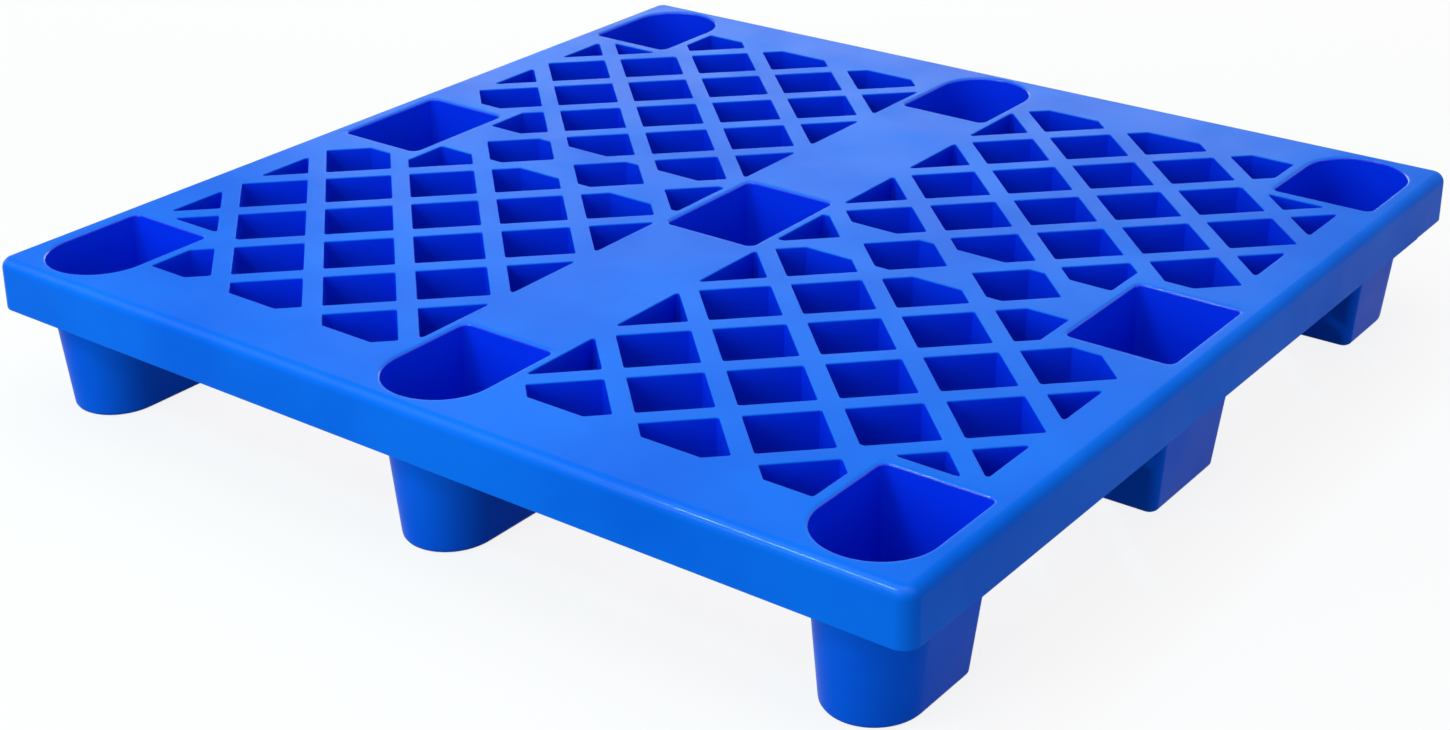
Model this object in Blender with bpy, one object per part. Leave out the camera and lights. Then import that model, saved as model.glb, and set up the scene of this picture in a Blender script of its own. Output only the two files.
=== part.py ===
"""Plastic pallet: a nine-leg nesting pallet with a lattice deck, as the members of its moulding.

Metres, +Z up. The origin is on the floor under the middle of the pallet. X runs along the front edge,
Y along the spine, and the front is at -Y. Each member is one closed object, with a fine seam to the next.
"""

import math

import bmesh
import bpy

# Overall size
LENGTH = 1.000  # along X
WIDTH = 1.000  # along Y
HEIGHT = 0.150
SEAM = 0.0003  # gap between neighbouring members

# Skirt and rims
SKIRT_DEPTH = 0.050  # from the deck's top to the skirt's lower edge
SKIRT_WALL = 0.004
SKIRT_DRAFT = 0.001  # how far the skirt leans in at the deck
CORNER_RADIUS = 0.015  # upright corners
EDGE_RADIUS = 0.010  # where the deck turns down into the skirt
SIDE_RIM = 0.040  # plain border along the left and right edges
END_RIM = 0.070  # plain border along the front and back edges
RIBS_PER_BAY = 3  # stiffeners under the rim between two legs

# Deck and lattice
DECK_WALL = 0.004
RIB_DEPTH = 0.046  # collars and stiffeners, from the deck's top
RIB_WALL = 0.0025
LATTICE_PITCH = 0.117  # between diamond centres along X or Y
BAR_WIDTH = 0.018
BAND_WIDTH = 0.076  # cross band through the middle, between the lattice fields
BAND_STEP = 0.005  # how far the band's seam steps to either side to miss the openings
PANEL_EDGE = 0.004  # from an opening's edge to the field's own edge
SMALLEST_OPENING = 0.006  # inner radius under which a cut-off diamond is left closed

# Spine
SPINE_COLUMNS = 2  # cells under the spine, across and along
SPINE_ROWS = 4

# Cups and legs
CUP_WIDTH = 0.110  # along X at the deck, with the lip
CUP_LENGTH = 0.144  # along Y at the deck, with the lip
SIDE_LAND = 0.0055  # flat deck between the outer cups and the rounded left and right edges
END_LAND = 0.001  # the same at the front and back edges
CUP_BORDER_SIDE = 0.0065  # plain deck between a cup and the openings beside it, along X
CUP_BORDER_END = 0.008  # the same along Y, at the corner cups
CUP_BORDER_MIDDLE = 0.013  # the same along Y, at the middle cups
LIP_LAND = 0.002  # flat ring round the lip
LIP_RADIUS = 0.004
LEG_WALL = 0.004
LEG_TAPER = 0.010  # how far each side leans in from the deck to the floor
LEG_CORNER = 0.012  # upright corners, outside
FOOT_WALL = 0.005
FOOT_RADIUS = 0.005

# Facets of the round stretches
CORNER_STEPS = 3
ROUND_END_STEPS = 6  # in each half of a round cup end
EDGE_STEPS = 3
LIP_STEPS = 2  # cup lip and foot edge

# Finish: moulded blue polyolefin
BLUE = (0.0065, 0.125, 0.72)
ROUGHNESS = 0.38

# Places that follow from the sizes
DECK_UNDERSIDE = HEIGHT - DECK_WALL
RIB_BOTTOM = HEIGHT - RIB_DEPTH
SKIRT_BOTTOM = HEIGHT - SKIRT_DEPTH
HALF_CUP = CUP_WIDTH / 2
HALF_CUP_LENGTH = CUP_LENGTH / 2
FLAT_INSET = SKIRT_DRAFT + EDGE_RADIUS  # where the flat deck ends, from the outer face
COLUMN = LENGTH / 2 - FLAT_INSET - SIDE_LAND - HALF_CUP  # X of the outer legs
ROW = WIDTH / 2 - FLAT_INSET - END_LAND - HALF_CUP_LENGTH  # Y of the outer legs
RIM_X = LENGTH / 2 - SIDE_RIM
RIM_Y = WIDTH / 2 - END_RIM
CUP_X = COLUMN - HALF_CUP  # inner side of the outer cups
CUP_Y = ROW - HALF_CUP_LENGTH  # inner end of the outer cups
HALF_SEAM = SEAM / 2


def arc(centre_x, centre_y, radius, start, end, steps):
    """Points on an arc between two angles in degrees, or its centre alone where the radius is nothing."""
    if radius == 0:
        return [(centre_x, centre_y)]
    angles = [math.radians(start + (end - start) * i / steps) for i in range(steps + 1)]
    return [(centre_x + radius * math.cos(a), centre_y + radius * math.sin(a)) for a in angles]


def ring(bm, outline, z):
    return [bm.verts.new((x, y, z)) for x, y in outline]


def wall(bm, upper, lower, closed=True):
    """Quads between two rings, or two open chains, of as many points."""
    count = len(upper)
    for i in range(count if closed else count - 1):
        j = (i + 1) % count
        bm.faces.new((upper[i], lower[i], lower[j], upper[j]))


def cover(bm, boundary, holes=()):
    """A flat face inside a ring, with openings."""
    edges = []
    for loop in (boundary, *holes):
        for a, b in zip(loop, loop[1:] + loop[:1]):
            edges.append(bm.edges.get((a, b)) or bm.edges.new((a, b)))
    bmesh.ops.triangle_fill(bm, use_beauty=True, edges=edges)


def mesh_of(bm, name):
    """The finished mesh, facing outwards and smooth but for its edges, with a slot for a plastic."""
    bmesh.ops.recalc_face_normals(bm, faces=bm.faces)
    mesh = bpy.data.meshes.new(name)
    bm.to_mesh(mesh)
    bm.free()
    mesh.shade_smooth()
    mesh.set_sharp_from_angle(angle=math.radians(35))
    mesh.materials.append(None)
    return mesh


def plastic(name):
    material = bpy.data.materials.new(name)
    material.use_nodes = True
    shader = material.node_tree.nodes["Principled BSDF"]
    shader.inputs["Base Color"].default_value = (*BLUE, 1)
    shader.inputs["Roughness"].default_value = ROUGHNESS
    shader.inputs["Metallic"].default_value = 0
    return material


def place(name, mesh, location=(0, 0, 0), half_turn=False):
    """One member, under the pallet's empty. A half turn about Z makes the back or left one of a pair."""
    member = bpy.data.objects.new(name, mesh)
    bpy.context.collection.objects.link(member)
    member.parent = pallet
    member.location = location
    member.rotation_euler.z = math.pi if half_turn else 0
    member.material_slots[0].link = "OBJECT"
    member.material_slots[0].material = plastic(name + "_plastic")
    return member


# Legs


def cup_outline(inset, corner, round_end):
    """A cup's outline about its own middle. The outer end, at -Y, is a half circle on the outer rows."""
    half_x = HALF_CUP - inset
    half_y = HALF_CUP_LENGTH - inset
    outer = half_x if round_end else corner
    outer_steps = ROUND_END_STEPS if round_end else CORNER_STEPS
    points = arc(half_x - corner, half_y - corner, corner, 0, 90, CORNER_STEPS)
    points += arc(corner - half_x, half_y - corner, corner, 90, 180, CORNER_STEPS)
    points += arc(outer - half_x, outer - half_y, outer, 180, 270, outer_steps)
    right = arc(half_x - outer, outer - half_y, outer, 270, 360, outer_steps)
    return points + (right[1:] if round_end else right)


def leg_inset(z):
    """How far the leg's outside lies inside the cup's outline at a height."""
    return LIP_LAND + LEG_TAPER * (DECK_UNDERSIDE - z) / DECK_UNDERSIDE


def leg_mesh(name, round_end):
    """A tapered cup: a square-cornered collar at the deck, a rounded lip, straight walls and a flat foot."""
    bm = bmesh.new()
    collar = cup_outline(HALF_SEAM, 0, round_end)
    collar_top = ring(bm, collar, HEIGHT)
    collar_low = ring(bm, collar, DECK_UNDERSIDE)
    wall(bm, collar_top, collar_low)

    inside = []
    for i in range(LIP_STEPS + 1):
        turn = math.radians(90 * i / LIP_STEPS)
        tuck = LIP_RADIUS * math.sin(turn)
        inside.append((LIP_LAND + tuck, LEG_CORNER - tuck, HEIGHT - LIP_RADIUS * (1 - math.cos(turn))))
    inside.append((leg_inset(FOOT_WALL) + LEG_WALL, LEG_CORNER - LEG_WALL, FOOT_WALL))
    inner = [ring(bm, cup_outline(inset, corner, round_end), z) for inset, corner, z in inside]
    for upper, lower in zip(inner, inner[1:]):
        wall(bm, upper, lower)

    outside = [(LIP_LAND, LEG_CORNER, DECK_UNDERSIDE)]
    for i in range(LIP_STEPS + 1):
        turn = math.radians(90 * i / LIP_STEPS)
        tuck = FOOT_RADIUS * (1 - math.cos(turn))
        z = FOOT_RADIUS * (1 - math.sin(turn))
        outside.append((leg_inset(FOOT_RADIUS) + tuck, LEG_CORNER - tuck, z))
    outer = [ring(bm, cup_outline(inset, corner, round_end), z) for inset, corner, z in outside]
    for upper, lower in zip(outer, outer[1:]):
        wall(bm, upper, lower)

    cover(bm, collar_top, [inner[0]])
    cover(bm, collar_low, [outer[0]])
    cover(bm, inner[-1])
    cover(bm, outer[-1])
    return mesh_of(bm, name)


# Lattice fields and cross bands


def clip(polygon, a, b, limit):
    """The part of a convex polygon where a*x + b*y is at most the limit."""
    kept = []
    for p, q in zip(polygon, polygon[1:] + polygon[:1]):
        over_p = a * p[0] + b * p[1] - limit
        over_q = a * q[0] + b * q[1] - limit
        if over_p <= 0:
            kept.append(p)
        if over_p * over_q < 0:
            share = over_p / (over_p - over_q)
            kept.append((p[0] + share * (q[0] - p[0]), p[1] + share * (q[1] - p[1])))
    return kept


def area(polygon):
    return sum(p[0] * q[1] - q[0] * p[1] for p, q in zip(polygon, polygon[1:] + polygon[:1])) / 2


def inner_radius(polygon):
    around = sum(math.dist(p, q) for p, q in zip(polygon, polygon[1:] + polygon[:1]))
    return 2 * area(polygon) / around if polygon else 0


def grow(polygon, distance):
    """A convex polygon, counter-clockwise, with each side moved out by a distance."""
    grown = []
    count = len(polygon)
    for i in range(count):
        before, here, after = polygon[i - 1], polygon[i], polygon[(i + 1) % count]
        in_x, in_y = here[0] - before[0], here[1] - before[1]
        out_x, out_y = after[0] - here[0], after[1] - here[1]
        in_length, out_length = math.hypot(in_x, in_y), math.hypot(out_x, out_y)
        normal_in = (in_y / in_length, -in_x / in_length)
        normal_out = (out_y / out_length, -out_x / out_length)
        reach = distance / (1 + normal_in[0] * normal_out[0] + normal_in[1] * normal_out[1])
        x = here[0] + reach * (normal_in[0] + normal_out[0])
        y = here[1] + reach * (normal_in[1] + normal_out[1])
        grown.append((x, y))
    return grown


def diamond(column, row):
    """The opening whose middle is this many half pitches from the pallet's middle."""
    reach = LATTICE_PITCH / 2 - BAR_WIDTH / math.sqrt(2)
    x, y = column * LATTICE_PITCH / 2, row * LATTICE_PITCH / 2
    return [(x + reach, y), (x, y + reach), (x - reach, y), (x, y - reach)]


def outside_of(polygon, x_from, y_limit, below):
    """A diamond kept clear of a cup's border: cut along X or along Y, whichever leaves more."""
    by_x = clip(polygon, 1, 0, x_from)
    by_y = clip(polygon, 0, -1, -y_limit) if below else clip(polygon, 0, 1, y_limit)
    return max(by_x, by_y, key=area)


def field_openings():
    """The openings of the field at +X and +Y."""
    spine_edge = HALF_CUP + PANEL_EDGE
    cup_edge = CUP_X - CUP_BORDER_SIDE
    count = math.ceil(max(LENGTH, WIDTH) / LATTICE_PITCH)
    found = []
    for column in range(count + 1):
        for row in range(1, count + 1):
            if (column + row) % 2 == 0:
                continue
            opening = clip(diamond(column, row), -1, 0, -spine_edge)
            opening = clip(opening, 1, 0, RIM_X - PANEL_EDGE)
            opening = clip(opening, 0, 1, RIM_Y - PANEL_EDGE)
            opening = clip(opening, 0, -1, -BAND_WIDTH / 2)
            opening = outside_of(opening, cup_edge, HALF_CUP_LENGTH + CUP_BORDER_MIDDLE, True)
            opening = outside_of(opening, cup_edge, CUP_Y - CUP_BORDER_END, False)
            if inner_radius(opening) > SMALLEST_OPENING:
                found.append(opening)
    return found


def band_openings():
    """The openings of the cross band at +X, with their tips cut off at the band's edges."""
    count = math.ceil(LENGTH / LATTICE_PITCH)
    found = []
    for column in range(1, count + 1, 2):
        opening = clip(diamond(column, 0), -1, 0, -(HALF_CUP + PANEL_EDGE))
        opening = clip(opening, 1, 0, CUP_X - CUP_BORDER_SIDE)
        opening = clip(opening, 0, 1, BAND_WIDTH / 2)
        opening = clip(opening, 0, -1, BAND_WIDTH / 2)
        if inner_radius(opening) > SMALLEST_OPENING:
            found.append(opening)
    return found


def band_seam():
    """The seam between a cross band and a field, from the centre cup outwards. It steps along the bars."""
    low, high = BAND_WIDTH / 2 - BAND_STEP, BAND_WIDTH / 2 + BAND_STEP
    first, last = HALF_CUP + HALF_SEAM, CUP_X - HALF_SEAM

    def height(x):
        crest = (math.floor(x / LATTICE_PITCH) + 0.5) * LATTICE_PITCH
        return min(high, max(low, LATTICE_PITCH / 2 - abs(x - crest)))

    turns = []
    for i in range(math.ceil(LENGTH / LATTICE_PITCH)):
        crest = (i + 0.5) * LATTICE_PITCH
        for level in (low, high):
            turns += [crest - LATTICE_PITCH / 2 + level, crest + LATTICE_PITCH / 2 - level]
    between = sorted(x for x in turns if first + SEAM < x < last - SEAM)
    return [(x, height(x)) for x in (first, *between, last)]


def grille_mesh(name, outline, openings):
    """A deck plate with openings, each with a collar that hangs below it."""
    bm = bmesh.new()
    edge_top = ring(bm, outline, HEIGHT)
    edge_low = ring(bm, outline, DECK_UNDERSIDE)
    wall(bm, edge_top, edge_low)
    tops, collars = [], []
    for opening in openings:
        around = grow(opening, RIB_WALL)
        top, bottom = ring(bm, opening, HEIGHT), ring(bm, opening, RIB_BOTTOM)
        collar_bottom, collar_top = ring(bm, around, RIB_BOTTOM), ring(bm, around, DECK_UNDERSIDE)
        wall(bm, top, bottom)
        wall(bm, bottom, collar_bottom)
        wall(bm, collar_bottom, collar_top)
        tops.append(top)
        collars.append(collar_top)
    cover(bm, edge_top, tops)
    cover(bm, edge_low, collars)
    return mesh_of(bm, name)


def field_mesh(name, mirror_x):
    """The field at +X and -Y, or its mirror image at -X."""
    seam = [(x, y + HALF_SEAM) for x, y in band_seam()]
    inner_x, cup_x, rim_x = HALF_CUP + HALF_SEAM, CUP_X - HALF_SEAM, RIM_X - HALF_SEAM
    outline = seam + [
        (cup_x, HALF_CUP_LENGTH + HALF_SEAM),
        (rim_x, HALF_CUP_LENGTH + HALF_SEAM),
        (rim_x, CUP_Y - HALF_SEAM),
        (cup_x, CUP_Y - HALF_SEAM),
        (cup_x, RIM_Y - HALF_SEAM),
        (inner_x, RIM_Y - HALF_SEAM),
    ]
    side = -1 if mirror_x else 1

    def turned(points):
        """The points in their own quarter, still counter-clockwise."""
        moved = [(side * x, -y) for x, y in points]
        return moved if mirror_x else moved[::-1]

    return grille_mesh(name, turned(outline), [turned(opening) for opening in field_openings()])


def band_mesh(name):
    """The cross band at +X."""
    upper = [(x, y - HALF_SEAM) for x, y in band_seam()]
    lower = [(x, -y) for x, y in upper]
    return grille_mesh(name, lower + upper[::-1], band_openings())


# Spine


def spine_mesh(name):
    """The plate between the centre cup and the front middle cup, over a grid of stiffeners."""
    bm = bmesh.new()
    half_x = HALF_CUP - HALF_SEAM
    front, back = -CUP_Y + HALF_SEAM, -HALF_CUP_LENGTH - HALF_SEAM
    outline = [(-half_x, front), (half_x, front), (half_x, back), (-half_x, back)]
    top, bottom = ring(bm, outline, HEIGHT), ring(bm, outline, RIB_BOTTOM)
    wall(bm, top, bottom)
    cover(bm, top)
    step_x = (2 * half_x - RIB_WALL) / SPINE_COLUMNS
    step_y = (back - front - RIB_WALL) / SPINE_ROWS
    mouths = []
    for column in range(SPINE_COLUMNS):
        for row in range(SPINE_ROWS):
            left, right = -half_x + RIB_WALL + column * step_x, -half_x + (column + 1) * step_x
            near, far = front + RIB_WALL + row * step_y, front + (row + 1) * step_y
            cell = [(left, near), (right, near), (right, far), (left, far)]
            mouth, roof = ring(bm, cell, RIB_BOTTOM), ring(bm, cell, DECK_UNDERSIDE)
            wall(bm, mouth, roof)
            cover(bm, roof)
            mouths.append(mouth)
    cover(bm, bottom, mouths)
    return mesh_of(bm, name)


# Rims


def rim_section():
    """The skirt's section, from the deck round to its underside: insets from the lower edge, and heights."""
    level = HEIGHT - EDGE_RADIUS
    outer = arc(FLAT_INSET, level, EDGE_RADIUS, 90, 180, EDGE_STEPS)
    inner = arc(FLAT_INSET, level, EDGE_RADIUS - SKIRT_WALL, 180, 90, EDGE_STEPS)
    inner[-1] = (FLAT_INSET, DECK_UNDERSIDE)
    return outer + [(0, SKIRT_BOTTOM), (SKIRT_WALL, SKIRT_BOTTOM)] + inner


def end_path(inset):
    """The front edge with both corners, from the right side round to the left, moved in by an inset."""
    x, y, radius = LENGTH / 2 - CORNER_RADIUS, WIDTH / 2 - CORNER_RADIUS, CORNER_RADIUS - inset
    stop = -RIM_Y - HALF_SEAM
    right = arc(x, -y, radius, 0, -90, 2 * CORNER_STEPS)
    left = arc(-x, -y, radius, -90, -180, 2 * CORNER_STEPS)
    return [(x + radius, stop), *right, *left, (-x - radius, stop)]


def end_notches():
    """The front rim's inner edge, from left to right, with a round notch for each cup."""
    stop, radius = -RIM_Y - HALF_SEAM, HALF_CUP + HALF_SEAM
    centre = -ROW - HALF_CUP_LENGTH + HALF_CUP
    dip = math.degrees(math.asin(max(0, centre - stop) / radius))  # where the seam cuts the half circle short
    edge = []
    for x in (-COLUMN, 0, COLUMN):
        bowl = arc(x, centre, radius, 180 + dip, 360 - dip, 2 * ROUND_END_STEPS)
        edge += [(x - radius, stop), *bowl, (x + radius, stop)]
    return edge


def side_path(inset):
    stop = RIM_Y - HALF_SEAM
    return [(LENGTH / 2 - inset, stop), (LENGTH / 2 - inset, -stop)]


def side_notches():
    """The right rim's inner edge, from front to back, stepped round the three cups."""
    stop, rim_x, cup_x = RIM_Y - HALF_SEAM, RIM_X + HALF_SEAM, COLUMN + HALF_CUP + HALF_SEAM
    corner, middle = CUP_Y - HALF_SEAM, HALF_CUP_LENGTH + HALF_SEAM
    back = [(cup_x, middle), (rim_x, middle), (rim_x, corner), (cup_x, corner), (cup_x, stop)]
    return [(x, -y) for x, y in reversed(back)] + back


def rim_plate(path, inner_edge):
    """A border plate that turns down into the skirt along a path, and ends at the edge towards the deck."""
    bm = bmesh.new()
    chains = [ring(bm, path(inset), z) for inset, z in rim_section()]
    for upper, lower in zip(chains, chains[1:]):
        wall(bm, upper, lower, closed=False)
    inner_top, inner_low = ring(bm, inner_edge, HEIGHT), ring(bm, inner_edge, DECK_UNDERSIDE)
    wall(bm, inner_top, inner_low, closed=False)
    cover(bm, chains[0] + inner_top)
    cover(bm, chains[-1] + inner_low)
    bm.faces.new([chain[0] for chain in chains] + [inner_low[-1], inner_top[-1]])
    bm.faces.new([chain[-1] for chain in chains] + [inner_low[0], inner_top[0]])
    return mesh_of(bm, "rim_plate")


def rim_ribs(reach, stand, places):
    """Stiffeners across a rim: thin plates from the middle of the skirt's wall to a reach from the edge."""
    bend = arc(FLAT_INSET, HEIGHT - EDGE_RADIUS, EDGE_RADIUS - SKIRT_WALL / 2, 180, 90, EDGE_STEPS)
    bend[-1] = (FLAT_INSET, HEIGHT - DECK_WALL / 2)
    section = [(bend[0][0], RIB_BOTTOM), *bend, (reach, HEIGHT - DECK_WALL / 2), (reach, RIB_BOTTOM)]
    bm = bmesh.new()
    for place in places:
        faces = []
        for along in (place - RIB_WALL / 2, place + RIB_WALL / 2):
            faces.append([bm.verts.new(stand(inset, along, z)) for inset, z in section])
            bm.faces.new(faces[-1])
        wall(bm, *faces)
    return mesh_of(bm, "rim_ribs")


def joined(name, plate, ribs):
    """One mesh of a plate and the stiffeners that grow into it."""
    base, extra = bpy.data.objects.new("plate", plate), bpy.data.objects.new("ribs", ribs)
    for helper in (base, extra):
        bpy.context.collection.objects.link(helper)
    union = base.modifiers.new("ribs", "BOOLEAN")
    union.operation = "UNION"
    union.object = extra
    mesh = bpy.data.meshes.new_from_object(base.evaluated_get(bpy.context.evaluated_depsgraph_get()))
    mesh.name = name
    for helper in (plate, ribs):
        bpy.data.meshes.remove(helper)
    return mesh


def bay_middles(start, end):
    """Where the stiffeners of one bay stand, evenly spaced between two legs."""
    return [start + (end - start) * (i + 1) / (RIBS_PER_BAY + 1) for i in range(RIBS_PER_BAY)]


def end_rim_mesh(name):
    def stand(inset, along, z):
        return (along, -WIDTH / 2 + inset, z)

    places = bay_middles(-CUP_X, -HALF_CUP) + bay_middles(HALF_CUP, CUP_X)
    ribs = rim_ribs(END_RIM - PANEL_EDGE, stand, places)
    return joined(name, rim_plate(end_path, end_notches()), ribs)


def side_rim_mesh(name):
    def stand(inset, along, z):
        return (LENGTH / 2 - inset, along, z)

    places = bay_middles(-CUP_Y, -HALF_CUP_LENGTH) + bay_middles(HALF_CUP_LENGTH, CUP_Y)
    ribs = rim_ribs(SIDE_RIM - PANEL_EDGE, stand, places)
    return joined(name, rim_plate(side_path, side_notches()), ribs)


# The pallet

for old in list(bpy.data.objects):
    bpy.data.objects.remove(old)

pallet = bpy.data.objects.new("pallet", None)
bpy.context.collection.objects.link(pallet)

round_leg = leg_mesh("round_leg", True)
square_leg = leg_mesh("square_leg", False)
for side, x in (("left", -COLUMN), ("middle", 0), ("right", COLUMN)):
    place("leg_front_" + side, round_leg, (x, -ROW, 0))
    place("leg_back_" + side, round_leg, (x, ROW, 0), half_turn=True)
place("leg_middle_left", square_leg, (-COLUMN, 0, 0))
place("leg_centre", square_leg)
place("leg_middle_right", square_leg, (COLUMN, 0, 0))

right_field = field_mesh("right_field", False)
left_field = field_mesh("left_field", True)
place("lattice_front_right", right_field)
place("lattice_back_left", right_field, half_turn=True)
place("lattice_front_left", left_field)
place("lattice_back_right", left_field, half_turn=True)

band = band_mesh("band")
place("cross_band_right", band)
place("cross_band_left", band, half_turn=True)

spine = spine_mesh("spine")
place("spine_front", spine)
place("spine_back", spine, half_turn=True)

end_rim = end_rim_mesh("end_rim")
place("rim_front", end_rim)
place("rim_back", end_rim, half_turn=True)

side_rim = side_rim_mesh("side_rim")
place("rim_right", side_rim)
place("rim_left", side_rim, half_turn=True)
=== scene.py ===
import math

import bmesh
import bpy
from mathutils import Matrix, Quaternion, Vector


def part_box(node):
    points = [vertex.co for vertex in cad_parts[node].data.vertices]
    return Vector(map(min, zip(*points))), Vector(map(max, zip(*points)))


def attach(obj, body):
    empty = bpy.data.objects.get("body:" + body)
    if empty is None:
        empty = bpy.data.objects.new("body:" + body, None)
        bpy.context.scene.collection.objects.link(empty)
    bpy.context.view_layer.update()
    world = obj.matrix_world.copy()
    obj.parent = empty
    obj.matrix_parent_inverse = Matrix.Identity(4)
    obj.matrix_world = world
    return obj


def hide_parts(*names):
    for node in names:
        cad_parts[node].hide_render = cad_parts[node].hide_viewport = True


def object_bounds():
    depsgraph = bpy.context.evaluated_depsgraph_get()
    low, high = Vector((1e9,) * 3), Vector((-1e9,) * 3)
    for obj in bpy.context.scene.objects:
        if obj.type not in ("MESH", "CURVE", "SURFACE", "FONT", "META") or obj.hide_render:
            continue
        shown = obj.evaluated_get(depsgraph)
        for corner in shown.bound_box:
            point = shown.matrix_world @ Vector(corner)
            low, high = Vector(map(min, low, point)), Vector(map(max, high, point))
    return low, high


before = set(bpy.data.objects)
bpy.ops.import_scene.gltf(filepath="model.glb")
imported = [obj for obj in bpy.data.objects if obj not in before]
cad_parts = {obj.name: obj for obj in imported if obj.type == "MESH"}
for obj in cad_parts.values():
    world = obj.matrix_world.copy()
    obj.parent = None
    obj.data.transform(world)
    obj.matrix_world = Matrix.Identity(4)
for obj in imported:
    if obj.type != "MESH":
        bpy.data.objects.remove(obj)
cad_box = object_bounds()

# Legs: nine hollow tapered cups that open through the deck, so that empty pallets drop into each other.
# Polyethylene, moulded in one shot with the deck: the lip rolls over into the cup without a joint.
# The outer rows have a round end towards the edge of the pallet, and every leg stands on a flat foot.

SEAM = 0.0003  # gap between the frame's members, which the moulding doesn't have
HEIGHT = cad_box[1][2]
DECK_WALL = 0.004
LIP_LAND = 0.002  # flat ring round the lip
LIP_RADIUS = 0.003
LIP_STEPS = 5
CUP_CORNER = 0.010  # upright corners, at the lip's outer edge
CORNER_STEPS = 6
ROUND_END_STEPS = 16  # in each half of a round end
LEG_TAPER = 0.0125  # how far a wall leans in over the whole height
FLOOR_FILLET = 0.0015  # inside, and one wall more outside
FILLET_STEPS = 4
OUTSIDE_PAINTED_SHADE = 0.30  # share of the painted shade, a deeper blue, on a leg's outer face under the deck
LIP_POLISH = 0.9  # how far nested legs have polished the lips
SHARP_ANGLE = math.radians(40)  # bends over this are shaded as edges


def linear(hex_colour):
    """An sRGB hex colour as linear red, green, blue and alpha."""
    parts = [int(hex_colour[i:i + 2], 16) / 255 for i in (1, 3, 5)]
    return (*[p / 12.92 if p <= 0.04045 else ((p + 0.055) / 1.055) ** 2.4 for p in parts], 1)


def add(tree, kind, values, **settings):
    """Adds a node: settings are its own options, values are what its sockets hold or are linked to."""
    made = tree.nodes.new("ShaderNode" + kind)
    for name, value in settings.items():
        setattr(made, name, value)
    for socket, value in values.items():
        if isinstance(value, bpy.types.NodeSocket):
            tree.links.new(value, made.inputs[socket])
        else:
            made.inputs[socket].default_value = value
    return made


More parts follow.
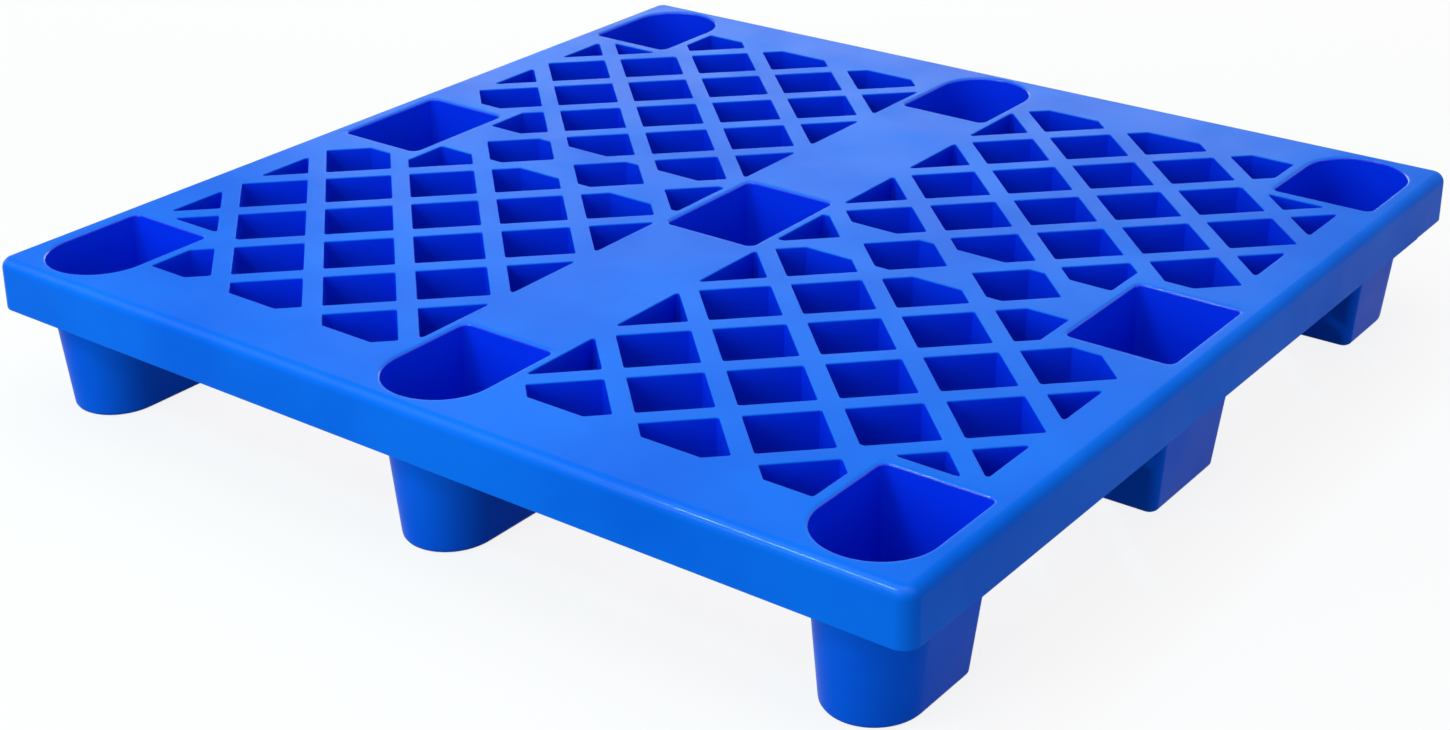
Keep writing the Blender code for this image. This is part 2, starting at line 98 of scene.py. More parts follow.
def moulded_polyethylene(name):
    """Blue polyethylene from a satin steel mould: deep even colour, a soft sheen and a faint skin of grain.

    The flow of the melt leaves slow clouds in the colour, and the shine varies a little too. Walls below the
    deck in the cups and openings, and the legs' outer faces, get a painted shade: a deeper blue that stands
    in for the shade there. Forks polish the front and back edges, and nested legs polish the lips of the
    cups;
    the top of the lips and openings is painted a little paler, partly as rubbing and partly as a painted
    highlight.
    """
    flow_size = 0.160
    sheen_size = 0.060
    grain_size = 0.0014  # the mould's own grain is finer, and is drawn this coarse to show
    wave_size = 0.045
    painted_shade_start = 0.0004  # below the deck, as are the depths that follow
    painted_shade_end = 0.0016
    # The paler band at the top of the lips and openings is partly rubbing and partly a painted highlight.
    rub_highlight_depth = 0.0012
    edge_gloss_depth = 0.0055
    lip_gloss_depth = 0.0026
    rub_highlight_start, rub_highlight_full = 0.01, 0.30  # where in its depth the paler band, partly rubbing and partly a painted highlight, begins and is strongest
    gloss_start, gloss_full = 0.12, 0.45
    rub_highlight_share = 0.15
    flow_low, flow_high = 0.35, 0.65  # the stretch of the noise that the two blues span
    material = bpy.data.materials.new(name)
    material.use_nodes = True
    tree = material.node_tree
    tree.nodes.clear()
    place = add(tree, "TexCoord", {}).outputs["Object"]
    height = add(tree, "SeparateXYZ", {"Vector": place}).outputs["Z"]
    flow = add(tree, "TexNoise", {"Vector": place, "Scale": 1 / flow_size, "Detail": 3, "Roughness": 0.5})
    blue = add(tree, "ValToRGB", {"Fac": flow.outputs["Fac"]})
    blue.color_ramp.elements[0].position = flow_low
    blue.color_ramp.elements[0].color = linear("#0464df")
    blue.color_ramp.elements[1].position = flow_high
    blue.color_ramp.elements[1].color = linear("#0870ea")
    # Painted shade: where a mesh is marked for it, walls below the deck are mixed towards a deeper blue that
    # stands in for the shade in the cups, the openings and under the deck.
    low = add(tree, "MapRange", {"Value": height, "From Min": HEIGHT - painted_shade_start,
                                 "From Max": HEIGHT - painted_shade_end, "To Min": 0, "To Max": 1})
    painted_shade = add(tree, "Attribute", {}, attribute_name="painted_shade")
    depth = add(tree, "Math", {0: low.outputs["Result"], 1: painted_shade.outputs["Fac"]}, operation="MULTIPLY")
    blue_with_painted_shade = add(tree, "Mix", {0: depth.outputs[0], 6: blue.outputs["Color"], 7: linear("#0232e2")},
                 data_type="RGBA")
    below = add(tree, "Math", {0: HEIGHT, 1: height}, operation="SUBTRACT")
    gloss_depth = add(tree, "MapRange", {"Value": painted_shade.outputs["Fac"], "To Min": edge_gloss_depth,
                                         "To Max": lip_gloss_depth})
    edges = []
    for reach, start, full in ((rub_highlight_depth, rub_highlight_start, rub_highlight_full),
                               (gloss_depth.outputs["Result"], gloss_start, gloss_full)):
        share = add(tree, "MapRange", {"Value": below.outputs[0], "From Max": reach})
        edge = add(tree, "ValToRGB", {"Fac": share.outputs["Result"]})
        edge.color_ramp.elements[0].position = start
        edge.color_ramp.elements[0].color = (0, 0, 0, 1)
        edge.color_ramp.elements[1].color = (0, 0, 0, 1)
        edge.color_ramp.elements.new(full).color = (1, 1, 1, 1)
        edges.append(edge.outputs["Color"])
    # Paler top of the lips and openings, mixed towards a light blue: partly rubbing by nested legs, partly a
    # painted highlight.
    lip_rub_highlight = add(tree, "Math", {0: edges[0], 1: painted_shade.outputs["Fac"]}, operation="MULTIPLY")
    rub_and_painted_highlight = add(tree, "Math", {0: lip_rub_highlight.outputs[0], 1: rub_highlight_share}, operation="MULTIPLY")
    polished = add(tree, "Attribute", {}, attribute_name="polished")
    gloss = add(tree, "Math", {0: edges[1], 1: polished.outputs["Fac"]}, operation="MULTIPLY")
    colour = add(tree, "Mix", {0: rub_and_painted_highlight.outputs[0], 6: blue_with_painted_shade.outputs[2], 7: linear("#3d8cf4")},
                 data_type="RGBA")
    sheen = add(tree, "TexNoise", {"Vector": place, "Scale": 1 / sheen_size, "Detail": 2, "Roughness": 0.5})
    satin = add(tree, "MapRange", {"Value": sheen.outputs["Fac"], "From Min": 0.3, "From Max": 0.7,
                                   "To Min": 0.29, "To Max": 0.40})
    grain = add(tree, "TexNoise", {"Vector": place, "Scale": 1 / grain_size, "Detail": 1})
    wave = add(tree, "TexNoise", {"Vector": place, "Scale": 1 / wave_size, "Detail": 1})
    soft = add(tree, "Bump", {"Height": wave.outputs["Fac"], "Strength": 0.25, "Distance": 0.0006})
    fine = add(tree, "Bump", {"Height": grain.outputs["Fac"], "Strength": 0.12, "Distance": 0.0001,
                              "Normal": soft.outputs["Normal"]})
    shader = add(tree, "BsdfPrincipled", {"Base Color": colour.outputs[2], "IOR": 1.5,
                                          "Roughness": satin.outputs["Result"], "Specular IOR Level": 0.02,
                                          "Coat Weight": gloss.outputs[0], "Coat Roughness": 0.1,
                                          "Normal": fine.outputs["Normal"]})
    add(tree, "OutputMaterial", {"Surface": shader.outputs["BSDF"]})
    return material


polyethylene = moulded_polyethylene("moulded_polyethylene")


def mark(bm, name, share):
    """Marks all of a mesh for the material with a share from 0 to 1: of painted shade, or of polish by use.
    """
    layer = bm.verts.layers.float.new(name)
    for vert in bm.verts:
        vert[layer] = share(vert.co)


def keep(bm, node):
    """Makes a finished mesh a piece of the pallet, in place of the frame's node of that name."""
    mesh = bpy.data.meshes.new(node + "_moulding")
    bm.to_mesh(mesh)
    bm.free()
    mesh.shade_smooth()
    mesh.set_sharp_from_angle(angle=SHARP_ANGLE)
    mesh.materials.append(polyethylene)
    piece = bpy.data.objects.new(node + "_moulding", mesh)
    bpy.context.scene.collection.objects.link(piece)
    even = piece.modifiers.new("even_shading", "WEIGHTED_NORMAL")
    even.mode = "FACE_AREA"
    even.keep_sharp = True
    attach(piece, "root")
    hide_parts(node)


def outline_of(node):
    """The corners of a node's box, with half of the seam round it taken in."""
    low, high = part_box(node)
    margin = Vector((SEAM / 2, SEAM / 2, 0))
    return low - margin, high + margin


def quarter(radius, steps):
    """The moves inwards and down that round an edge, from flat to upright."""
    turns = [math.pi / 2 * i / steps for i in range(steps + 1)]
    return [(radius * (math.sin(b) - math.sin(a)), radius * (math.cos(a) - math.cos(b)))
            for a, b in zip(turns, turns[1:])]


def draw_in(bm, face, moves):
    """Draws a face in and down, move by move, and leaves a wall round it."""
    face.normal_update()
    for inwards, down in moves:
        bmesh.ops.inset_individual(bm, faces=[face], thickness=inwards, depth=-down, use_even_offset=True)


def fill(bm, edges):
    """A flat face within the outermost loop of edges, open inside the others."""
    bmesh.ops.triangle_fill(bm, use_beauty=True, edges=edges)


def cup_outline(bm, low, high, round_end, corner):
    """A flat face at the deck over a cup, with one end (-1 front, 1 back, 0 none) made round.

    The other corners are rounded by a radius, or left square where it is 0.
    """
    before = set(bm.faces)
    places = ((low.x, low.y), (high.x, low.y), (high.x, high.y), (low.x, high.y))
    corners = [bm.verts.new((x, y, HEIGHT)) for x, y in places]
    bm.faces.new(corners)
    ends = {-1: corners[:2], 0: [], 1: corners[2:]}[round_end]
    if corner:
        plain = [vert for vert in corners if vert not in ends]
        bmesh.ops.bevel(bm, geom=plain, offset=corner, segments=CORNER_STEPS, profile=0.5,
                        affect="VERTICES", material=-1)
    if ends:
        made = bmesh.ops.bevel(bm, geom=ends, offset=(high.x - low.x) / 2, segments=ROUND_END_STEPS,
                               profile=0.5, affect="VERTICES", material=-1)
        bmesh.ops.remove_doubles(bm, verts=made["verts"], dist=SEAM / 10)
    return (set(bm.faces) - before).pop()


def leg(node, round_end):
    """One leg: the lip rolls over into a tapering wall and a floor, and the skin then gets its thickness."""
    low, high = outline_of(node)
    wall_drop = HEIGHT - LIP_RADIUS - FLOOR_FILLET - DECK_WALL
    bm = bmesh.new()
    collar = cup_outline(bm, low, high, round_end, 0)
    collar_edges = collar.edges[:]
    bmesh.ops.delete(bm, geom=[collar], context="FACES_ONLY")
    land = Vector((LIP_LAND, LIP_LAND, 0))
    face = cup_outline(bm, low + land, high - land, round_end, CUP_CORNER)
    fill(bm, collar_edges + face.edges[:])
    draw_in(bm, face, quarter(LIP_RADIUS, LIP_STEPS) + [(0, wall_drop)])
    middle = (low + high) / 2
    cup_size = high - low
    narrow = 2 * LEG_TAPER * wall_drop / HEIGHT
    lip = 2 * (LIP_LAND + LIP_RADIUS)
    shrink = (1 - narrow / (cup_size.x - lip), 1 - narrow / (cup_size.y - lip), 1)
    bmesh.ops.scale(bm, vec=shrink, space=Matrix.Translation(-middle), verts=face.verts[:])
    draw_in(bm, face, [(down, inwards) for inwards, down in quarter(FLOOR_FILLET, FILLET_STEPS)])
    bmesh.ops.recalc_face_normals(bm, faces=bm.faces[:])
    if face.normal.z < 0:
        bmesh.ops.reverse_faces(bm, faces=bm.faces[:])
    # The whole leg is marked for the full painted shade, and its outer skin below for only a share of it.
    mark(bm, "painted_shade", lambda place: 1)
    mark(bm, "polished", lambda place: LIP_POLISH)
    painted_shade = bm.verts.layers.float["painted_shade"]
    for part in bmesh.ops.solidify(bm, geom=bm.faces[:], thickness=DECK_WALL)["geom"]:
        if isinstance(part, bmesh.types.BMVert):
            part[painted_shade] = OUTSIDE_PAINTED_SHADE
    keep(bm, node)


for side in ("left", "middle", "right"):
    leg("leg_front_" + side, -1)
    leg("leg_back_" + side, 1)
for node in ("leg_middle_left", "leg_centre", "leg_middle_right"):
    leg(node, 0)

# Lattice fields: the four grilles of the deck, square openings set on their points.
# The same polyethylene, with a thin collar below each opening that stiffens the bars between them.
# Openings are cut short along the rims, the spine and the cups, and rounded over at the top.

PITCH = 0.117  # between openings along X or Y
BAR_WIDTH = 0.018
COLLAR_WALL = 0.0025
COLLAR_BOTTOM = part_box("lattice_front_right")[0].z
RIM_ROUND = 0.0008  # rounding of an opening's upper edge
RIM_STEPS = 4
OPENING_LAND = 0.0004  # flat ring of plate round an opening
OPENING_CORNER = 0.0025
OPENING_CORNER_STEPS = 3
FIELD_MARGIN = 0.004  # from an opening to its field's edge
CUP_MARGIN_X = 0.0065  # plain deck between an opening and a cup
CUP_MARGIN_MIDDLE = 0.013
CUP_MARGIN_CORNER = 0.008
SMALLEST_OPENING = 0.006  # inner radius under which a cut-off opening is left closed
BAND_HALF = 0.038  # half of the cross band, where openings are cut short
BAND_STEP = 0.005
DECK_LOW = HEIGHT - DECK_WALL
spine_x = outline_of("spine_front")[1].x
field_end = outline_of("lattice_back_right")[1]
corner_cup = outline_of("leg_back_right")[0]
middle_cup = Vector((corner_cup.x, outline_of("leg_middle_right")[1].y))


def opening_face(bm, column, row, borders):
    """The face of the opening this many half pitches from the middle, cut at its borders."""
    reach = PITCH / 2 - BAR_WIDTH / math.sqrt(2)
    middle = Matrix.Translation((column * PITCH / 2, row * PITCH / 2, HEIGHT))
    made = bmesh.ops.create_circle(bm, cap_ends=True, segments=4, radius=reach, matrix=middle)
    face = made["verts"][0].link_faces[0]
    for across, along, limit in borders:
        normal = Vector((across, along, 0))
        cut = bmesh.ops.bisect_plane(bm, geom=[face, *face.edges, *face.verts], dist=SEAM / 100,
                                     plane_co=normal * limit, plane_no=normal, clear_outer=True)
        left = [part for part in cut["geom"] if isinstance(part, bmesh.types.BMFace)]
        if not left:
            return None
        face = left[0]
    return face


def sized_opening(column, row, borders):
    """Whether an opening, cut at its borders, is large enough to be made."""
    bm = bmesh.new()
    face = opening_face(bm, column, row, borders)
    radius = 2 * face.calc_area() / face.calc_perimeter() if face else 0
    bm.free()
    return radius > SMALLEST_OPENING


def collared_opening(bm, column, row, borders):
    """One opening: rounded over at the deck, down inside the collar, round its foot and up outside it."""
    grown = RIM_ROUND + OPENING_LAND
    before = set(bm.faces)
    face = opening_face(bm, column, row, borders)
    corners = {}
    for loop in face.loops:
        angle = round(math.degrees(loop.calc_angle()))
        corners.setdefault(angle, []).append(loop.vert)
    for angle, verts in corners.items():
        tangent = OPENING_CORNER / math.tan(math.radians(angle / 2))
        bmesh.ops.bevel(bm, geom=verts, offset=tangent, segments=OPENING_CORNER_STEPS, profile=0.5,
                        affect="VERTICES", material=-1)
    face = (set(bm.faces) - before).pop()
    ring = bmesh.ops.inset_individual(bm, faces=[face], thickness=-grown, use_even_offset=True)["faces"]
    bmesh.ops.delete(bm, geom=ring, context="FACES")
    draw_in(bm, face, [(OPENING_LAND, 0), *quarter(RIM_ROUND, RIM_STEPS),
                       (0, HEIGHT - RIM_ROUND - COLLAR_BOTTOM), (-COLLAR_WALL, 0),
                       (0, COLLAR_BOTTOM - DECK_LOW)])
    bmesh.ops.delete(bm, geom=[face], context="FACES_ONLY")


def grille(points, openings):
    """A deck plate with an outline and collared openings, each a column, a row and its borders."""
    bm = bmesh.new()
    plate = bm.faces.new([bm.verts.new((x, y, HEIGHT)) for x, y in points])
    draw_in(bm, plate, [(0, DECK_WALL)])
    bmesh.ops.delete(bm, geom=[plate], context="FACES_ONLY")
    for column, row, borders in openings:
        collared_opening(bm, column, row, borders)
    for level in (HEIGHT, DECK_LOW):
        fill(bm, [edge for edge in bm.edges
                  if edge.is_boundary and abs(edge.verts[0].co.z - level) < SEAM])
    bmesh.ops.recalc_face_normals(bm, faces=bm.faces[:])
    # The whole grille is marked for the painted shade, which shows on the collar walls below the deck.
    mark(bm, "painted_shade", lambda place: 1)
    return bm


def field_borders(column, row):
    """What cuts an opening of the field at +X and +Y short, as directions and limits."""
    x, y = column * PITCH / 2, row * PITCH / 2
    beside = corner_cup.x - CUP_MARGIN_X
    above = middle_cup.y + CUP_MARGIN_MIDDLE
    below = corner_cup.y - CUP_MARGIN_CORNER
    borders = [(-1, 0, -spine_x - FIELD_MARGIN), (1, 0, field_end.x - FIELD_MARGIN),
               (0, 1, field_end.y - FIELD_MARGIN), (0, -1, -BAND_HALF)]
    if beside - x > min(y - above, below - y):
        return borders + [(1, 0, beside)]
    return borders + [(0, -1, -above), (0, 1, below)]


def band_seam():
    """The line between a cross band and a field, from the centre cup outwards, stepping along the bars."""
    low, high = BAND_HALF - BAND_STEP, BAND_HALF + BAND_STEP
    turns = [spine_x, corner_cup.x]
    for i in range(int(corner_cup.x / PITCH) + 1):
        crest = (i + 0.5) * PITCH
        for level in (low, high):
            turns += [crest - PITCH / 2 + level, crest + PITCH / 2 - level]
    inside = sorted(x for x in turns if spine_x <= x <= corner_cup.x)
    crests = [(math.floor(x / PITCH) + 0.5) * PITCH for x in inside]
    return [(x, min(high, max(low, PITCH / 2 - abs(x - crest)))) for x, crest in zip(inside, crests)]


half_pitches = int(2 * field_end.x / PITCH) + 2
field_cells = [(column, row, field_borders(column, row)) for column in range(half_pitches)
               for row in range(1, half_pitches) if (column + row) % 2]
field_openings = [cell for cell in field_cells if sized_opening(*cell)]
field_outline = band_seam() + [
    (corner_cup.x, middle_cup.y), (field_end.x, middle_cup.y), (field_end.x, corner_cup.y),
    (corner_cup.x, corner_cup.y), (corner_cup.x, field_end.y), (spine_x, field_end.y)]
for node, across, along in (("lattice_back_right", 1, 1), ("lattice_back_left", -1, 1),
                            ("lattice_front_left", -1, -1), ("lattice_front_right", 1, -1)):
    bm = grille(field_outline, field_openings)
    bmesh.ops.scale(bm, vec=(across, along, 1), verts=bm.verts[:])
    bmesh.ops.recalc_face_normals(bm, faces=bm.faces[:])
    keep(bm, node)

# Cross bands: the strips of deck from the centre cup to the middle cups at either side.
# Polyethylene like the rest, with one row of openings whose points are cut off level with the band.
# Their edges run along the bars of the fields and are one with them.

band_borders = [(-1, 0, -spine_x - FIELD_MARGIN), (1, 0, corner_cup.x - CUP_MARGIN_X),
                (0, 1, BAND_HALF), (0, -1, BAND_HALF)]
band_openings = [(column, 0, band_borders) for column in range(1, half_pitches, 2)
                 if sized_opening(column, 0, band_borders)]
band_upper = band_seam()
band_outline = [(x, -y) for x, y in band_upper] + band_upper[::-1]
for node, across in (("cross_band_right", 1), ("cross_band_left", -1)):
    bm = grille(band_outline, band_openings)
    bmesh.ops.scale(bm, vec=(across, 1, 1), verts=bm.verts[:])
    bmesh.ops.recalc_face_normals(bm, faces=bm.faces[:])
    keep(bm, node)

# Spine: the two plain plates between the centre cup and the middle cups at the front and back.
# Polyethylene, flat and closed on top, with a grid of ribs below that carries the load between the legs.

SPINE_COLUMNS = 2
SPINE_ROWS = 4
for node in ("spine_front", "spine_back"):
    low, high = outline_of(node)
    size = high - low
    bm = bmesh.new()
    middle = Matrix.Translation(((low.x + high.x) / 2, (low.y + high.y) / 2, low.z))
    between = size - Vector((COLLAR_WALL, COLLAR_WALL, 0))  # from middle to middle of the outer ribs
    bmesh.ops.create_grid(bm, x_segments=SPINE_COLUMNS, y_segments=SPINE_ROWS, size=0.5,
                          matrix=middle @ Matrix.Diagonal((between.x, between.y, 1, 1)))
    cells = bm.faces[:]
    for outwards in ((size.x / between.x, size.y / between.y, 1), (1, 1, 1)):
        border = [edge for edge in bm.edges if edge.is_boundary]
        made = bmesh.ops.extrude_edge_only(bm, edges=border)["geom"]
        last = [part for part in made if isinstance(part, bmesh.types.BMVert)]
        bmesh.ops.scale(bm, vec=outwards, space=middle.inverted(), verts=last)
    bmesh.ops.translate(bm, vec=(0, 0, HEIGHT - low.z), verts=last)
    for cell in cells:
        draw_in(bm, cell, [(COLLAR_WALL / 2, 0), (0, low.z - DECK_LOW)])
    fill(bm, [edge for edge in bm.edges if edge.is_boundary])
    bmesh.ops.recalc_face_normals(bm, faces=bm.faces[:])
    keep(bm, node)

# Rims: the plain border of the deck, which rolls over into the skirt on all four sides.
# Polyethylene of one wall, with a large soft edge, and ribs behind the skirt between the legs.
# The front and back rims take the rounded corners of the pallet with them.

EDGE_RADIUS = 0.010
EDGE_STEPS = 8
UPRIGHT_CORNER = 0.015
UPRIGHT_STEPS = 10
SKIRT_DRAFT = 0.001  # how far the skirt leans out towards its lower edge
SKIRT_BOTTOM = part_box("rim_right")[0].z
LOWER_EDGE = 0.0012  # rounding of the skirt's lower edge
LOWER_EDGE_STEPS = 2
RIBS_PER_BAY = 3  # between two legs
RIB_ROOT = 0.0005  # how far a rib runs into the walls that it stands on
RIB_CORNER = 0.003  # follows the bend of the rim
EDGE_POLISH = 0.5  # how far forks have polished the front and back edges
POLISHED_STRIP = 0.0105  # width of that strip, from the pallet's edge inwards
half_length = cad_box[1][0]
half_width = cad_box[1][1]
flat_x = half_length - SKIRT_DRAFT
flat_y = half_width - SKIRT_DRAFT
seam_y = field_end.y
front_cups = [outline_of("leg_front_" + side) for side in ("right", "middle", "left")]
cup_columns = [(low.x + high.x) / 2 for low, high in front_cups]
cup_half = (outline_of("leg_centre")[1].x - outline_of("leg_centre")[0].x) / 2
cup_end = outline_of("leg_back_right")[1]


def rolled_rim(points, round_corners, notch_corners, is_outer):
    """A border plate whose outer edges turn down into the skirt, as a wall of even thickness."""
    bm = bmesh.new()
    verts = [bm.verts.new((x, y, HEIGHT)) for x, y in points]
    bm.faces.new(verts)
    if round_corners:
        bmesh.ops.bevel(bm, geom=[verts[i] for i in round_corners], offset=UPRIGHT_CORNER - SKIRT_DRAFT,
                        segments=UPRIGHT_STEPS, profile=0.5, affect="VERTICES", material=-1)
    if notch_corners:
        made = bmesh.ops.bevel(bm, geom=[verts[i] for i in notch_corners], offset=cup_half,
                               segments=ROUND_END_STEPS, profile=0.5, affect="VERTICES", material=-1)
        bmesh.ops.remove_doubles(bm, verts=made["verts"], dist=SEAM / 10)
    outer = [edge for edge in bm.edges if is_outer((edge.verts[0].co + edge.verts[1].co) / 2)]
    skirt = bmesh.ops.extrude_edge_only(bm, edges=outer)["geom"]
    for vert in skirt:
        if isinstance(vert, bmesh.types.BMVert):
            core_x = max(-half_length + UPRIGHT_CORNER, min(half_length - UPRIGHT_CORNER, vert.co.x))
            core_y = max(-half_width + UPRIGHT_CORNER, min(half_width - UPRIGHT_CORNER, vert.co.y))
            vert.co += Vector((vert.co.x - core_x, vert.co.y - core_y, 0)).normalized() * SKIRT_DRAFT
            vert.co.z = SKIRT_BOTTOM
    bmesh.ops.recalc_face_normals(bm, faces=bm.faces[:])
    bmesh.ops.bevel(bm, geom=outer, offset=EDGE_RADIUS, segments=EDGE_STEPS, profile=0.5,
                    affect="EDGES", material=-1)
    if sum(face.normal.z for face in bm.faces) < 0:
        bmesh.ops.reverse_faces(bm, faces=bm.faces[:])
    bmesh.ops.solidify(bm, geom=bm.faces[:], thickness=DECK_WALL)
    foot = [face for face in bm.faces if face.calc_center_median().z < SKIRT_BOTTOM + LOWER_EDGE / 2]
    lower_edges = {edge for face in foot for edge in face.edges
                   if not all(other in foot for other in edge.link_faces)}
    at_seam = [edge for edge in lower_edges
               if all(abs(abs(vert.co.y) - seam_y) < SEAM for vert in edge.verts)]
    bmesh.ops.bevel(bm, geom=list(lower_edges.difference(at_seam)), offset=LOWER_EDGE,
                    segments=LOWER_EDGE_STEPS, profile=0.5, affect="EDGES", material=-1)
    return bm


def bay_middles(start, end):
    """Where the ribs of one bay stand, evenly spaced between two legs."""
    return [start + (end - start) * (i + 1) / (RIBS_PER_BAY + 1) for i in range(RIBS_PER_BAY)]


def with_ribs(bm, stand, places, reach):
    """Joins a rim with its ribs, thin plates across it.

    What stand gives is the point at an inset from the pallet's edge and a place along the rim.
    """
    extra = bmesh.new()
    low, high = COLLAR_BOTTOM, DECK_LOW + RIB_ROOT
    root = DECK_WALL - RIB_ROOT
    for place in places:
        near = Vector(stand(root, place - COLLAR_WALL / 2))
        far = Vector(stand(reach, place + COLLAR_WALL / 2))
        middle = (near + far) / 2
        size = far - near
        where = Matrix.Translation((middle.x, middle.y, (low + high) / 2))
        stretch = Matrix.Diagonal((abs(size.x), abs(size.y), high - low, 1))
        bmesh.ops.create_cube(extra, size=1, matrix=where @ stretch)
    edge_x, edge_y = half_length - root - SEAM, half_width - root - SEAM
    in_bend = {vert for vert in extra.verts
               if vert.co.z > high - SEAM and (abs(vert.co.x) > edge_x or abs(vert.co.y) > edge_y)}
    upper_root = [edge for edge in extra.edges if all(vert in in_bend for vert in edge.verts)]
    bmesh.ops.bevel(extra, geom=upper_root, offset=RIB_CORNER, segments=1, profile=0.5,
                    affect="EDGES", material=-1)
    helpers = []
    for shape in (bm, extra):
        mesh = bpy.data.meshes.new("helper")
        shape.to_mesh(mesh)
        helpers.append(bpy.data.objects.new("helper", mesh))
        bpy.context.scene.collection.objects.link(helpers[-1])
    union = helpers[0].modifiers.new("ribs", "BOOLEAN")
    union.operation = "UNION"
    union.object = helpers[1]
    evaluated = helpers[0].evaluated_get(bpy.context.evaluated_depsgraph_get())
    joined = bpy.data.meshes.new_from_object(evaluated)
    bm.clear()
    bm.from_mesh(joined)
    extra.free()
    bpy.data.meshes.remove(joined)
    for helper in helpers:
        bpy.data.meshes.remove(helper.data)


def end_rim(node, along):
    """The front rim, with notches for three cups and the pallet's corners, or turned, the back rim."""
    points = [(-flat_x, -seam_y), (-flat_x, -flat_y), (flat_x, -flat_y), (flat_x, -seam_y)]
    for x in cup_columns:
        points += [(x + cup_half, -seam_y), (x + cup_half, -cup_end.y),
                   (x - cup_half, -cup_end.y), (x - cup_half, -seam_y)]
    notches = [4 + 4 * i + k for i in range(len(cup_columns)) for k in (1, 2)]

    def is_outer(p):
        in_notch = any(abs(p.x - x) < cup_half + SEAM and p.y > -cup_end.y - SEAM for x in cup_columns)
        return p.y < -seam_y - SEAM and not in_notch

    bm = rolled_rim(points, (1, 2), notches, is_outer)
    places = bay_middles(-corner_cup.x, -cup_half) + bay_middles(cup_half, corner_cup.x)
    with_ribs(bm, lambda inset, place: (place, inset - half_width, 0), places,
              half_width - seam_y - FIELD_MARGIN)
    mark(bm, "polished", lambda place: EDGE_POLISH if abs(place.y) > half_width - POLISHED_STRIP else 0)
    bmesh.ops.scale(bm, vec=(along, along, 1), verts=bm.verts[:])
    keep(bm, node)


def side_rim(node, along):
    """The right rim, which passes outside the cups, or turned, the left rim."""
    cup_x = cup_end.x
    back = [(cup_x, middle_cup.y), (field_end.x, middle_cup.y), (field_end.x, corner_cup.y),
            (cup_x, corner_cup.y), (cup_x, seam_y)]
    front = [(x, -y) for x, y in reversed(back)]
    points = [(flat_x, -seam_y), (flat_x, seam_y)] + back[::-1] + front[::-1]
    bm = rolled_rim(points, (), (), lambda p: p.x > flat_x - SEAM)
    places = bay_middles(-corner_cup.y, -middle_cup.y) + bay_middles(middle_cup.y, corner_cup.y)
    with_ribs(bm, lambda inset, place: (half_length - inset, place, 0), places,
              half_length - field_end.x - FIELD_MARGIN)
    bmesh.ops.scale(bm, vec=(along, along, 1), verts=bm.verts[:])
    keep(bm, node)


end_rim("rim_front", 1)
end_rim("rim_back", -1)
side_rim("rim_right", 1)
side_rim("rim_left", -1)

# Floor: a large sheet of matt white studio paper under the pallet.
# The camera and reflections see it nearly white, with the pallet's shadow on it, and all white far away.
# To other rays it is grey, so that less light comes back up under the pallet.

FLOOR_HALF = 6.0
SHOWN_WHITE = 0.86  # share of plain white in what the camera sees of the floor near the object
NEAR = 0.9  # from the middle, where that share begins to rise
FAR = 2.5  # from the middle, where the floor is all white to the camera


def shown(tree):
    """1 for rays from the camera, off gloss and through glass, which meet the white, and 0 for the others."""
    ray = add(tree, "LightPath", {})
    seen = ray.outputs["Is Camera Ray"]
    for kind in ("Is Glossy Ray", "Is Transmission Ray"):
        seen = add(tree, "Math", {0: seen, 1: ray.outputs[kind]}, operation="MAXIMUM").outputs[0]
    return seen


floor_bm = bmesh.new()
bmesh.ops.create_grid(floor_bm, x_segments=1, y_segments=1, size=FLOOR_HALF)
floor_mesh = bpy.data.meshes.new("floor")
floor_bm.to_mesh(floor_mesh)
floor_bm.free()
floor = bpy.data.objects.new("floor", floor_mesh)
bpy.context.scene.collection.objects.link(floor)
paper = bpy.data.materials.new("matt_white_paper")
paper.use_nodes = True
tree = paper.node_tree
tree.nodes.clear()
seen = shown(tree)
place = add(tree, "TexCoord", {}).outputs["Object"]
distance = add(tree, "VectorMath", {0: place}, operation="LENGTH").outputs["Value"]
white_share = add(tree, "MapRange", {"Value": distance, "From Min": NEAR, "From Max": FAR,
                                     "To Min": SHOWN_WHITE, "To Max": 1})
share = add(tree, "Math", {0: seen, 1: white_share.outputs["Result"]}, operation="MULTIPLY")
sheet_colour = add(tree, "Mix", {0: seen, 6: linear("#909090"), 7: linear("#f4f4f4")}, data_type="RGBA")
matt = add(tree, "BsdfDiffuse", {"Color": sheet_colour.outputs[2]})
white = add(tree, "Emission", {"Color": (1, 1, 1, 1), "Strength": 1})
sheet = add(tree, "MixShader", {0: share.outputs[0], 1: matt.outputs["BSDF"], 2: white.outputs["Emission"]})
add(tree, "OutputMaterial", {"Surface": sheet.outputs["Shader"]})
floor_mesh.materials.append(paper)

# Light: soft boxes above, in front, behind and on the right, as in a studio, and the pale room around them.
# A narrow cool strip, high in front on the left, draws the highlight along the near part of the front edge.

ROOM_LIGHT = 0.33  # what the room gives the object, while it shows as white


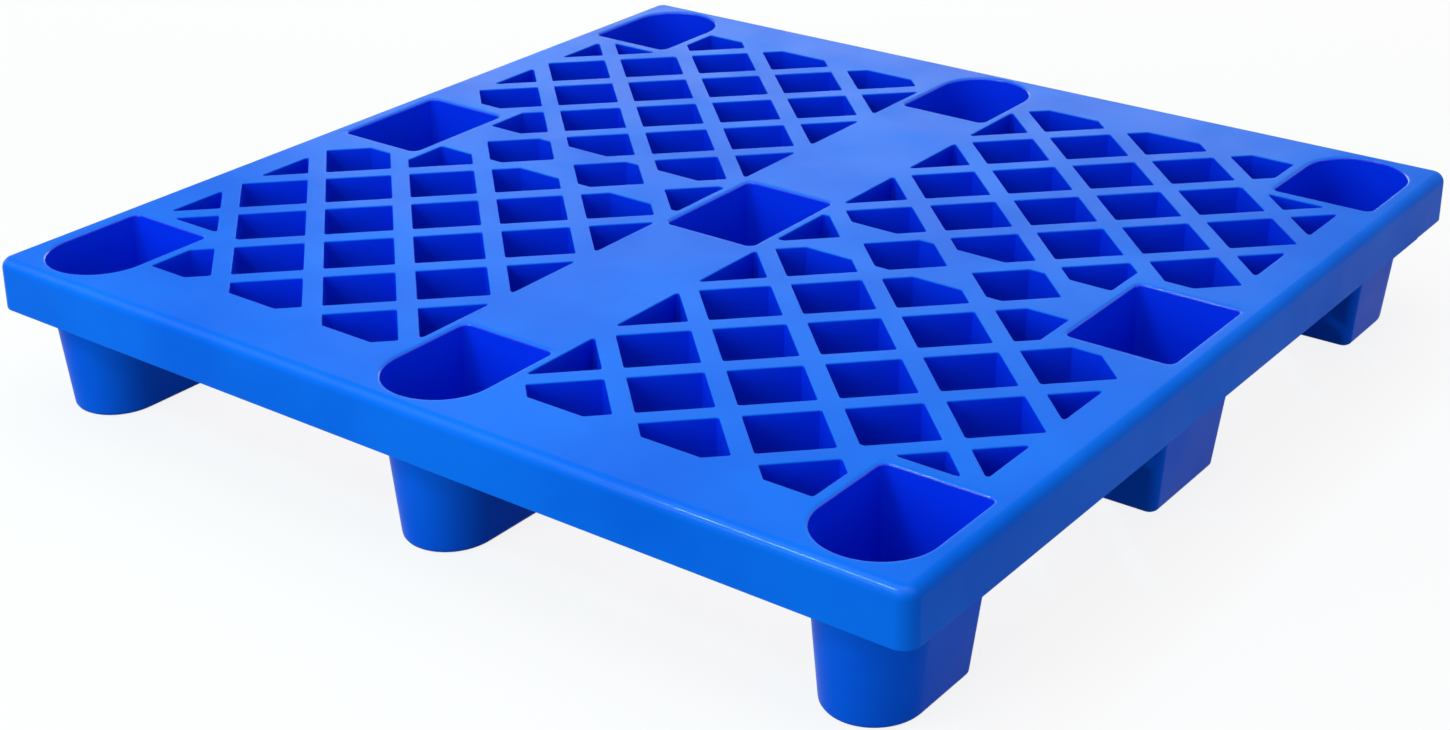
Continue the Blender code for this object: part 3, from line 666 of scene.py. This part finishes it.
def soft_box(name, place, aim, width, height, watts, colour="#ffffff"):
    """An area lamp of a width and height, turned from its place towards its aim."""
    lamp = bpy.data.lights.new(name, "AREA")
    lamp.color = linear(colour)[:3]
    lamp.shape = "RECTANGLE"
    lamp.size = width
    lamp.size_y = height
    lamp.energy = watts
    box = bpy.data.objects.new(name, lamp)
    box.location = place
    box.rotation_euler = (Vector(aim) - Vector(place)).to_track_quat("-Z", "Y").to_euler()
    bpy.context.scene.collection.objects.link(box)


soft_box("top_box", (0, 0, 2.4), (0, 0, 0.1), 2.4, 2.4, 29.5, "#fffaf0")
soft_box("front_box", (-0.3, -2.8, 1.1), (0, 0, 0.1), 2.4, 1.4, 38, "#f0fbff")
soft_box("back_box", (-1.5, 2.2, 0.75), (0, 0, 0.15), 2.2, 1.1, 21)
soft_box("front_strip", (-0.95, -2.06, 2.35), (0.3, -0.5, 0.15), 1.0, 0.09, 28, "#90f0ff")
soft_box("side_box", (2.9, 0.3, 0.8), (0.5, 0, 0.1), 2.0, 1.0, 13, "#a8c4ff")

world = bpy.data.worlds.new("pale_room")
bpy.context.scene.world = world
world.use_nodes = True
tree = world.node_tree
tree.nodes.clear()
level = add(tree, "MapRange", {"Value": shown(tree), "To Min": ROOM_LIGHT, "To Max": 1})
room = add(tree, "Background", {"Color": (1, 1, 1, 1), "Strength": level.outputs["Result"]})
add(tree, "OutputWorld", {"Surface": room.outputs["Background"]})

# Camera: about a metre up, off the right front corner, as for a catalogue picture.
# Its place, focal length, roll and shift were fitted to the photo.

IMAGE_WIDTH = 1450  # pixels, as is the focal length
FOCAL_PIXELS = 2266.3
SENSOR = 36.0
LENS_SHIFT = (0.0155, 0.0129)  # shares of the picture's width
CAMERA_PLACE = Vector((1.1897, -1.6386, 0.9643))
CAMERA_AIM = Vector((0.1875, -0.3238, HEIGHT))
CAMERA_ROLL = -0.516  # degrees
lens = bpy.data.cameras.new("camera")
lens.sensor_width = SENSOR
lens.lens = FOCAL_PIXELS * SENSOR / IMAGE_WIDTH
lens.shift_x, lens.shift_y = LENS_SHIFT
camera = bpy.data.objects.new("camera", lens)
camera.location = CAMERA_PLACE
turn = (CAMERA_AIM - CAMERA_PLACE).to_track_quat("-Z", "Y")
camera.rotation_euler = (turn @ Quaternion((0, 0, 1), math.radians(CAMERA_ROLL))).to_euler()
bpy.context.scene.collection.objects.link(camera)
bpy.context.scene.camera = camera

bpy.context.scene.view_settings.view_transform = "Standard"
